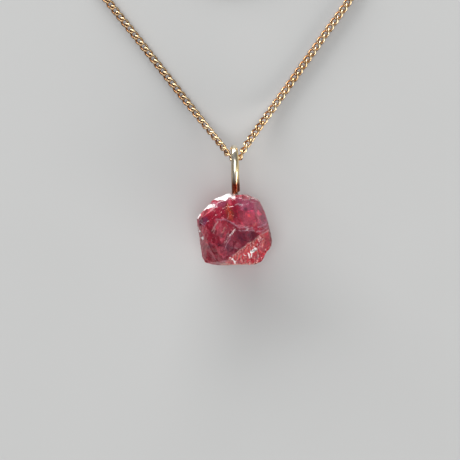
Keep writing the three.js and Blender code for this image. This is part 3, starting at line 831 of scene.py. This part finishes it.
def flake(points, normals, spot, kind, draw):
    """One flake at a point of the surface, whose hollow leans a little to one side."""
    radii, depths, lean = kind
    radius, depth = draw.uniform(*radii), draw.uniform(*depths)
    tilt = normals[spot] + draw.normal(0, lean, 3)
    centre = points[spot] + tilt / np.linalg.norm(tilt) * (radius - depth)
    chip(points, centre, radius)


def sharp_places(mesh, points, normals):
    """The points where the surface turns sharply outwards."""
    ends = np.zeros(len(mesh.edges) * 2, np.int32)
    mesh.edges.foreach_get("vertices", ends)
    a, b = ends.reshape(-1, 2).T
    bend = np.einsum("ij,ij->i", normals[b] - normals[a], points[b] - points[a])
    bend /= np.linalg.norm(points[b] - points[a], axis=1) ** 2
    total = np.zeros(len(points))
    np.add.at(total, a, bend)
    np.add.at(total, b, bend)
    return np.flatnonzero(total > np.quantile(total, SHARPEST))


def inner_crack(at, facing, radius, long):
    """A thin lens of air inside the stone, with its faces turned to the air."""
    bpy.ops.object.select_all(action="DESELECT")
    bpy.ops.mesh.primitive_uv_sphere_add(segments=20, ring_count=10, radius=radius)
    crack = bpy.context.object
    crack.scale = (1, long, CRACK_GAP / (2 * radius))
    bpy.ops.object.transform_apply(location=False, rotation=False, scale=True)
    waves = texture("crack_waves", "CLOUDS", noise_scale=CRACK_WAVE_SIZE)
    displace(crack, waves, CRACK_WAVE_HEIGHT, direction="Z", texture_coords="GLOBAL")
    turned = Vector(facing).to_track_quat("Z", "Y").to_matrix().to_4x4()
    crack.matrix_world = Matrix.Translation(at) @ turned
    pick(crack)
    bpy.ops.object.transform_apply(location=True, rotation=True, scale=True)
    bpy.ops.object.mode_set(mode="EDIT")
    bpy.ops.mesh.select_all(action="SELECT")
    bpy.ops.mesh.flip_normals()
    bpy.ops.object.mode_set(mode="OBJECT")
    bpy.ops.object.shade_smooth()
    return crack


def add_inner_cracks(stone, draw):
    cracks = [inner_crack(*crack) for crack in SEEN_CRACKS]
    for _ in range(DEEP_CRACKS):
        at = STONE_MIDDLE + Vector(draw.uniform(-1, 1, 3) * DEEP_CRACKS_REACH)
        facing = draw.normal(0, 1, 3)
        radius, long = draw.uniform(*DEEP_CRACK_RADIUS), draw.uniform(*DEEP_CRACK_LENGTH)
        cracks.append(inner_crack(at, facing, radius, long))
    return join([stone, *cracks])


def crystal():
    draw = np.random.default_rng(STONE_SEED)
    stone = rough_block()
    add_flakes(stone, draw)
    apply_modifier(stone, "DECIMATE", ratio=STONE_KEPT)
    mark_faces(stone)
    rough_up(stone)
    mark_finish(stone)
    pick(stone)
    bpy.ops.object.shade_smooth_by_angle(angle=STONE_CREASE)
    stone = add_inner_cracks(stone, draw)
    to_metres(stone, "crystal")
    return stone


def facing_up(normals):
    """1 on the upper side, easing to 0 where the surface is nearly upright."""
    return smoothstep(normals[:, 2], 0.1, 0.35)


def mark_faces(stone):
    """Where the ribs, the ripples and the crumbs go."""
    points, normals = places_of(stone.data)
    x, y = points[:, 0], points[:, 1]
    hackled = inside(HACKLED_FACE, x, y, HACKLED_SOFT) * facing_up(normals)
    paint_group(stone, "hackled", hackled)
    paint_group(stone, "broken", (1 - hackled) * (1 - calm_at(points)))
    paint_group(stone, "steps", on_steps(x, y, CRUMB_SOFT) * facing_up(normals))


def on_steps(x, y, soft):
    """1 on the bright steps at the top of the crystal."""
    return np.maximum(*(inside(outline, x, y, soft) for outline in HIGHLIGHT_STEPS))


def rough_up(stone):
    """Ripples in the broken surface, crumbs on the steps, crest lines, and the hackled face's ribs."""
    rings = {"wood_type": "RINGNOISE", "turbulence": 7}
    ripples = texture("ripples", "WOOD", noise_scale=RIPPLE_SIZE, **rings)
    displace(stone, ripples, RIPPLE_HEIGHT, vertex_group="broken")
    crumbs = texture("crumbs", "CLOUDS", noise_scale=CRUMB_SIZE)
    displace(stone, crumbs, CRUMB_HEIGHT, vertex_group="steps")
    points, normals = places_of(stone.data)
    x, y = points[:, 0], points[:, 1]
    raised = np.zeros(len(points))
    for line, reach, height in CREST_LINES:
        raised = np.maximum(raised, near_line(line, x, y, reach) * height)
    ribs = group_weights(stone, "hackled") * (ribs_at(x, y) - RIB_LEVEL) * RIB_HEIGHT
    points += normals * (facing_up(normals) * raised + ribs)[:, None]
    set_places(stone.data, points)


def ribs_at(x, y):
    """How high the hackled face's bowed, uneven ribs stand, from 0 to 1."""
    bow = x + 0.12 * (y + 6) ** 2
    wobble = 0.1 * np.sin(2.9 * y + 0.6) + 0.09 * np.sin(5.3 * x + 2.1 * y + 1.2)
    swell = 0.65 + 0.35 * np.sin(2.3 * x + 1.1 * y) * np.sin(3.1 * y - 1.3 * x + 0.8)
    return np.abs(np.sin((bow + wobble) * math.pi / RIB_PITCH)) ** 0.7 * swell


def group_weights(piece, name):
    index = piece.vertex_groups[name].index
    weights = np.zeros(len(piece.data.vertices))
    for vertex in piece.data.vertices:
        for entry in vertex.groups:
            if entry.group == index:
                weights[vertex.index] = entry.weight
    return weights


def mark_finish(stone):
    """Where the surface is frosted or clear, where a white crust stands in for painted highlights, and its
    areas, spots and lines of another tone, painted sheen, shade, glow and highlights among them.
    """
    points, normals = places_of(stone.data)
    x, y = ragged(points)
    upper = smoothstep(normals[:, 2], 0.02, 0.2)
    # Frost with a painted white sheen along the frosted lines
    frost_sheen = np.zeros(len(points))
    for line, reach, strength in FROST_AND_SHEEN_LINES:
        frost_sheen = np.maximum(frost_sheen, near_line(line, x, y, reach) * strength)
    paint(stone.data, "frost_sheen", frost_sheen * upper)
    # Painted highlight on the steps and painted glints along the strokes, laid on as a white crust
    painted_highlight = on_steps(x, y, HIGHLIGHT_SOFT)
    for line, width in GLINT_STROKES:
        painted_highlight = np.maximum(painted_highlight, near_line(line, x, y, width))
    paint(stone.data, "painted_highlight", painted_highlight * upper)
    paint(stone.data, "window", inside(CLEAR_WINDOW, x, y, WINDOW_SOFT) * upper)
    tone = np.zeros((len(points), 4))
    for outline, soft, colour, strength in TONE_AND_LIGHT_AREAS:
        lay_over(tone, inside(outline, x, y, soft) * upper * strength, colour)
    # Painted shade in the grooves between the hackled face's ribs
    groove_shade = 1 - smoothstep(ribs_at(x, y), 0.1, 0.6)
    hackled = inside(HACKLED_FACE, x, y, HACKLED_SOFT) * upper
    lay_over(tone, hackled * 0.7 * groove_shade, RASPBERRY)
    for (across, along), radius, colour, strength in TONE_AND_GLINT_SPOTS:
        spot = 1 - smoothstep(np.hypot(x - across, y - along), radius * 0.3, radius)
        lay_over(tone, spot * upper * strength, colour)
    for line, reach, colour, strength in HIGHLIGHT_AND_GLOW_LINES:
        lay_over(tone, near_line(line, x, y, reach) * upper * strength, colour)
    attribute = stone.data.attributes.new("tone", "FLOAT_COLOR", "POINT")
    attribute.data.foreach_set("color", tone.astype(np.float32).ravel())


def whiten(stone):
    """Gives the faces with a painted highlight the stone's second finish, the white crust."""
    mesh = stone.data
    painted_highlight = np.zeros(len(mesh.vertices), np.float32)
    corners = np.zeros(len(mesh.loops), np.int32)
    starts = np.zeros(len(mesh.polygons), np.int32)
    totals = np.zeros(len(mesh.polygons), np.int32)
    mesh.attributes["painted_highlight"].data.foreach_get("value", painted_highlight)
    mesh.loops.foreach_get("vertex_index", corners)
    mesh.polygons.foreach_get("loop_start", starts)
    mesh.polygons.foreach_get("loop_total", totals)
    shares = np.add.reduceat(painted_highlight[corners], starts) / totals
    mesh.polygons.foreach_set("material_index", (shares > 0.5).astype(np.int32))
    mesh.update()


def lay_over(tone, share, colour):
    """Lays a colour over what is there, and adds to how much of the surface is toned."""
    layer = np.array((*colour, 1.0))
    tone *= (1 - share)[:, None]
    tone += share[:, None] * layer


def ragged(points):
    """Places across and along, shifted a little to and fro so that drawn edges come out uneven."""
    x, y, z = points.T
    shift_x = 0.05 * np.sin(5.1 * y + 1.3 * z + 0.4) + 0.03 * np.sin(13.7 * y + 3.1 * x)
    shift_y = 0.05 * np.sin(4.7 * x + 1.9 * z + 2.0) + 0.03 * np.sin(12.3 * x - 2.7 * y)
    return x + shift_x, y + shift_y


# Materials

def add_node(tree, kind, inputs=(), **settings):
    """A shader node with these settings, its inputs linked to a socket or set to a value."""
    made = tree.nodes.new(kind)
    for name, value in settings.items():
        setattr(made, name, value)
    for name, value in dict(inputs).items():
        socket = made.inputs[name]
        if isinstance(value, bpy.types.NodeSocket):
            tree.links.new(value, socket)
        else:
            socket.default_value = value
    return made


def noise_on(tree, scale, detail=3.0, distortion=0.0):
    place = add_node(tree, "ShaderNodeTexCoord").outputs["Object"]
    inputs = {"Vector": place, "Scale": scale, "Detail": detail, "Distortion": distortion}
    return add_node(tree, "ShaderNodeTexNoise", inputs).outputs["Fac"]


def math_node(tree, operation, a, b):
    return add_node(tree, "ShaderNodeMath", {0: a, 1: b}, operation=operation).outputs[0]


def mix_colours(tree, share, a, b):
    return add_node(tree, "ShaderNodeMix", {0: share, 6: a, 7: b}, data_type="RGBA").outputs[2]


def spread(tree, value, low, high, to_low=0.0, to_high=1.0):
    """A value brought from one range to another, and kept in it."""
    names = ("Value", "From Min", "From Max", "To Min", "To Max")
    inputs = dict(zip(names, (value, low, high, to_low, to_high)))
    return add_node(tree, "ShaderNodeMapRange", inputs).outputs["Result"]


def new_group(name, inputs, outputs):
    """A node group with these sockets. Returns its tree, its inputs and its output node."""
    tree = bpy.data.node_groups.new(name, "ShaderNodeTree")
    for label, kind in inputs:
        tree.interface.new_socket(label, in_out="INPUT", socket_type="NodeSocket" + kind)
    for label, kind in outputs:
        tree.interface.new_socket(label, in_out="OUTPUT", socket_type="NodeSocket" + kind)
    return tree, add_node(tree, "NodeGroupInput").outputs, add_node(tree, "NodeGroupOutput")


def use_group(tree, group, inputs):
    return add_node(tree, "ShaderNodeGroup", inputs, node_tree=group).outputs


def worn_and_shaded_metal_group():
    """Metal handled over the years: patches of tone, fine scratches and an uneven polish, with painted
    shade laid over where the piece asks for it.
    """
    inputs = [
        ("Bright", "Color"),
        ("Deep", "Color"),
        ("Patch Scale", "Float"),
        ("Polish", "Float"),
        ("Painted Shade", "Float"),
    ]
    outputs = [("Color", "Color"), ("Roughness", "Float"), ("Height", "Float")]
    tree, given, out = new_group("worn_and_shaded_metal", inputs, outputs)
    patches = noise_on(tree, given["Patch Scale"], 4.0)
    tone = spread(tree, patches, 0.35, 0.68)
    fine = noise_on(tree, math_node(tree, "MULTIPLY", given["Patch Scale"], 9.0), 5.0, 0.4)
    rough = math_node(tree, "MULTIPLY", fine, 0.16)
    clean = mix_colours(tree, tone, given["Deep"], given["Bright"])
    tree.links.new(mix_colours(tree, given["Painted Shade"], clean, SHADE_TONE), out.inputs["Color"])
    tree.links.new(math_node(tree, "ADD", rough, given["Polish"]), out.inputs["Roughness"])
    tree.links.new(fine, out.inputs["Height"])
    return tree


def new_material(name):
    material = bpy.data.materials.new(name)
    material.use_nodes = True
    tree = material.node_tree
    return material, tree, tree.nodes["Principled BSDF"]


def bump(tree, shader, height, strength, distance):
    made = add_node(tree, "ShaderNodeBump", {"Height": height, "Strength": strength, "Distance": distance})
    tree.links.new(made.outputs["Normal"], shader.inputs["Normal"])


def gold(name, group, bright, deep, patch, polish):
    material, tree, shader = new_material(name)
    inner = add_node(tree, "ShaderNodeAttribute", attribute_name="inner")
    values = {"Bright": bright, "Deep": deep, "Patch Scale": patch, "Polish": polish}
    # Painted shade on the links, read from their own attribute
    values["Painted Shade"] = math_node(tree, "MULTIPLY", inner.outputs["Fac"], SHADE_SHARE)
    finish = use_group(tree, group, values)
    shader.inputs["Metallic"].default_value = 1.0
    tree.links.new(finish["Color"], shader.inputs["Base Color"])
    tree.links.new(finish["Roughness"], shader.inputs["Roughness"])
    bump(tree, shader, finish["Height"], 0.15, 0.02 * MM)
    return material


def gold_with_painted_light(name, group, *tones):
    """The bail's gold with painted light: painted shade on its left, a painted yellow reflection on its
    right, and a painted red reflection of the stone at its foot.
    """
    material = gold(name, group, *tones)
    tree = material.node_tree
    shader = tree.nodes["Principled BSDF"]
    place = add_node(tree, "ShaderNodeTexCoord")
    axes = add_node(tree, "ShaderNodeSeparateXYZ", {"Vector": place.outputs["Object"]})
    tone = shader.inputs["Base Color"].links[0].from_socket
    # Painted shade on the left side and a painted yellow reflection on the right side
    for start, end, painted_side_tone in (BAIL_SHADED_LEFT, BAIL_REFLECTING_RIGHT):
        on_side = spread(tree, axes.outputs["X"], start, end, 0.0, BAIL_PAINTED_SIDE_SHARE)
        tone = mix_colours(tree, on_side, tone, painted_side_tone)
    # Painted red reflection of the stone near the bail's foot
    red_reflection = spread(tree, axes.outputs["Y"], RED_REFLECTION_TO, RED_REFLECTION_FROM)
    tree.links.new(mix_colours(tree, red_reflection, tone, BAIL_RED_REFLECTION), shader.inputs["Base Color"])
    return material


def splinters(tree, scale, turn, drawn_out, seed):
    """Uneven cells, drawn out one way, each of its own random value."""
    place = add_node(tree, "ShaderNodeTexCoord").outputs["Object"]
    bend = add_node(tree, "ShaderNodeTexNoise", {"Vector": place, "Scale": scale * 0.7, "Detail": 2.0})
    push = {0: bend.outputs["Color"], 1: (0.9 / scale,) * 3}
    pushed = add_node(tree, "ShaderNodeVectorMath", push, operation="MULTIPLY")
    bent = add_node(tree, "ShaderNodeVectorMath", {0: place, 1: pushed.outputs[0]}, operation="ADD")
    lie = {"Location": (seed, 0, 0), "Rotation": turn, "Scale": (1, drawn_out, 1)}
    laid = add_node(tree, "ShaderNodeMapping", {"Vector": bent.outputs[0], **lie})
    cells = add_node(tree, "ShaderNodeTexVoronoi", {"Vector": laid.outputs[0], "Scale": scale})
    return add_node(tree, "ShaderNodeSeparateColor", {"Color": cells.outputs["Color"]}).outputs[0]


def stone_group():
    """The crystal's broken facets and colour clouds, with what is toned, frosted with a painted white
    sheen, or clear; the tone carries painted sheen, shade, glow and highlights too.
    """
    inputs = [
        ("Deep", "Color"),
        ("Rosy", "Color"),
        ("Frost Sheen Color", "Color"),
        ("Tone", "Color"),
        ("Toned", "Float"),
        ("Frost_Sheen", "Float"),
        ("Window", "Float"),
    ]
    outputs = [("Color", "Color"), ("Roughness", "Float"), ("Height", "Float")]
    tree, given, out = new_group("spinel_clouds", inputs, outputs)
    broad = splinters(tree, 1300.0, (0.3, 0.2, 0.7), 0.6, 0.0)
    fine = splinters(tree, 2600.0, (0.5, 0.4, -0.6), 0.4, 0.013)
    clouds = spread(tree, noise_on(tree, 620.0, 5.0, 0.8), 0.36, 0.64)
    grain = noise_on(tree, 3800.0, 4.0, 1.0)
    broad_share = math_node(tree, "MULTIPLY", broad, 0.55)
    fine_share = math_node(tree, "MULTIPLY", fine, 0.45)
    facets = math_node(tree, "ADD", broad_share, fine_share)
    mottle = math_node(tree, "MULTIPLY", spread(tree, facets, 0.35, 0.95), clouds)
    colour = mix_colours(tree, mottle, given["Deep"], given["Rosy"])
    bare = math_node(tree, "SUBTRACT", 1.0, given["Toned"])
    kept = add_node(tree, "ShaderNodeVectorMath", {0: colour, "Scale": bare}, operation="SCALE")
    both = add_node(tree, "ShaderNodeVectorMath", {0: kept.outputs[0], 1: given["Tone"]}, operation="ADD")
    relief = math_node(tree, "ADD", facets, grain)
    level = spread(tree, relief, 0.55, 1.45, 0.62, 1.3)
    shaded = add_node(tree, "ShaderNodeVectorMath", {0: both.outputs[0], "Scale": level}, operation="SCALE")
    uneven = spread(tree, grain, 0.3, 0.7, -0.22, 0.22)
    # White frost with a painted sheen where the frost mask is, over the stone's colour
    white = spread(tree, math_node(tree, "ADD", given["Frost_Sheen"], uneven), 0.2, 0.6)
    tree.links.new(mix_colours(tree, white, shaded.outputs[0], given["Frost Sheen Color"]), out.inputs["Color"])
    dull = spread(tree, broad, 0.2, 0.9, 0.04, 0.26)
    clear = add_node(tree, "ShaderNodeMix", {0: given["Window"], 2: dull, 3: 0.03})
    rough = add_node(tree, "ShaderNodeMix", {0: white, 2: clear.outputs[0], 3: 0.45})
    tree.links.new(rough.outputs[0], out.inputs["Roughness"])
    tree.links.new(relief, out.inputs["Height"])
    return tree


def add_absorption(tree):
    """The stone's red, from how it takes up light along the way through it."""
    absorb = add_node(tree, "ShaderNodeVolumeAbsorption", ABSORBED)
    tree.links.new(absorb.outputs["Volume"], tree.nodes["Material Output"].inputs["Volume"])


def spinel_material():
    material, tree, shader = new_material("raspberry_spinel")
    tone = add_node(tree, "ShaderNodeAttribute", attribute_name="tone")
    masks = {"Tone": tone.outputs["Color"], "Toned": tone.outputs["Alpha"]}
    # The frost mask with its painted sheen, and the clear window
    for label in ("Frost_Sheen", "Window"):
        masks[label] = add_node(tree, "ShaderNodeAttribute", attribute_name=label.lower()).outputs["Fac"]
    finish = use_group(tree, stone_group(), {**SPINEL_TONES, **masks})
    tree.links.new(finish["Color"], shader.inputs["Base Color"])
    tree.links.new(finish["Roughness"], shader.inputs["Roughness"])
    bump(tree, shader, finish["Height"], 0.35, 0.02 * MM)
    shader.inputs["Transmission Weight"].default_value = SPINEL_CLEAR
    shader.inputs["IOR"].default_value = SPINEL_IOR
    shader.inputs["Specular IOR Level"].default_value = SPINEL_GLANCE
    shader.inputs["Metallic"].default_value = 0.0
    add_absorption(tree)
    return material


def painted_highlight_material():
    """The same stone as a white crust, which stands in for painted highlights and glints."""
    material, tree, shader = new_material("painted_highlight_spinel")
    cloud = spread(tree, noise_on(tree, 2400.0, 4.0, 0.6), 0.35, 0.6)
    tree.links.new(mix_colours(tree, cloud, *HIGHLIGHT_CRUST_TONES), shader.inputs["Base Color"])
    tree.links.new(spread(tree, cloud, 0, 1, 0.5, 0.3), shader.inputs["Roughness"])
    bump(tree, shader, noise_on(tree, 5200.0, 4.0), 0.6, 0.03 * MM)
    shader.inputs["Transmission Weight"].default_value = HIGHLIGHT_CRUST_CLEAR
    shader.inputs["IOR"].default_value = SPINEL_IOR
    shader.inputs["Metallic"].default_value = 0.0
    add_absorption(tree)
    return material


def cement_material():
    material, tree, shader = new_material("set_glue")
    cloud = spread(tree, noise_on(tree, 2200.0, 3.0), 0.3, 0.7)
    tree.links.new(mix_colours(tree, cloud, *GLUE_TONES), shader.inputs["Base Color"])
    tree.links.new(spread(tree, cloud, 0, 1, 0.08, 0.25), shader.inputs["Roughness"])
    shader.inputs["Transmission Weight"].default_value = GLUE_CLEAR
    shader.inputs["IOR"].default_value = GLUE_IOR
    return material


def dress(piece, *materials):
    piece.data.materials.clear()
    for material in materials:
        piece.data.materials.append(material)


# Floor and light

def add_floor():
    bpy.ops.object.select_all(action="DESELECT")
    bpy.ops.mesh.primitive_plane_add(size=FLOOR_SIZE, location=(0, 0, 0))
    floor = bpy.context.object
    floor.name = "floor"
    material, tree, shader = new_material("pale_board")
    tone = mix_colours(tree, noise_on(tree, 30.0, 4.0), *FLOOR_TONES)
    tree.links.new(tone, shader.inputs["Base Color"])
    shader.inputs["Roughness"].default_value = FLOOR_ROUGHNESS
    shader.inputs["Specular IOR Level"].default_value = 0.0
    dress(floor, material)


def add_panel(name, towards, distance, size, watts, tint):
    """A soft panel in this direction from the pendant, turned to face it."""
    at = Vector(towards).normalized() * distance
    bpy.ops.object.light_add(type="AREA", location=at, rotation=at.to_track_quat("Z", "Y").to_euler())
    light = bpy.context.object
    light.name = name
    light.data.shape = "RECTANGLE"
    light.data.size = size[0]
    light.data.size_y = size[1]
    light.data.energy = watts
    light.data.color = tint


def add_lights():
    world = bpy.data.worlds.new("studio")
    world.use_nodes = True
    bpy.context.scene.world = world
    world.node_tree.nodes["Background"].inputs["Color"].default_value = SKY_COLOUR
    world.node_tree.nodes["Background"].inputs["Strength"].default_value = SKY_STRENGTH
    for panel in PANELS:
        add_panel(*panel)


bpy.context.scene.view_settings.view_transform = "Standard"
add_camera()
route = chain_route()
chain = curb_chain(route)
clasp = spring_ring()
right_ring = jump_ring("right")
left_ring = jump_ring("left")
bail_loop = bail()
glue = cement()
stone = crystal()

metal = worn_and_shaded_metal_group()
chain_gold = gold("chain_gold", metal, *CHAIN_GOLD)
bail_gold = gold_with_painted_light("bail_gold", metal, *BAIL_GOLD)
for piece in (chain, clasp, right_ring, left_ring):
    dress(piece, chain_gold)
dress(bail_loop, bail_gold)
dress(glue, cement_material())
dress(stone, spinel_material(), painted_highlight_material())
whiten(stone)

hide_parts("chain_left_run", "chain_right_run", "chain_coil")
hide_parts("spring_ring_clasp")
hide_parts("jump_ring_right")
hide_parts("jump_ring_left")
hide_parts("bail_wire")
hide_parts("cement_bead")
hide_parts("spinel_crystal")
for piece in (chain, clasp, right_ring, left_ring, bail_loop, glue, stone):
    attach(piece, "root")

add_floor()
add_lights()
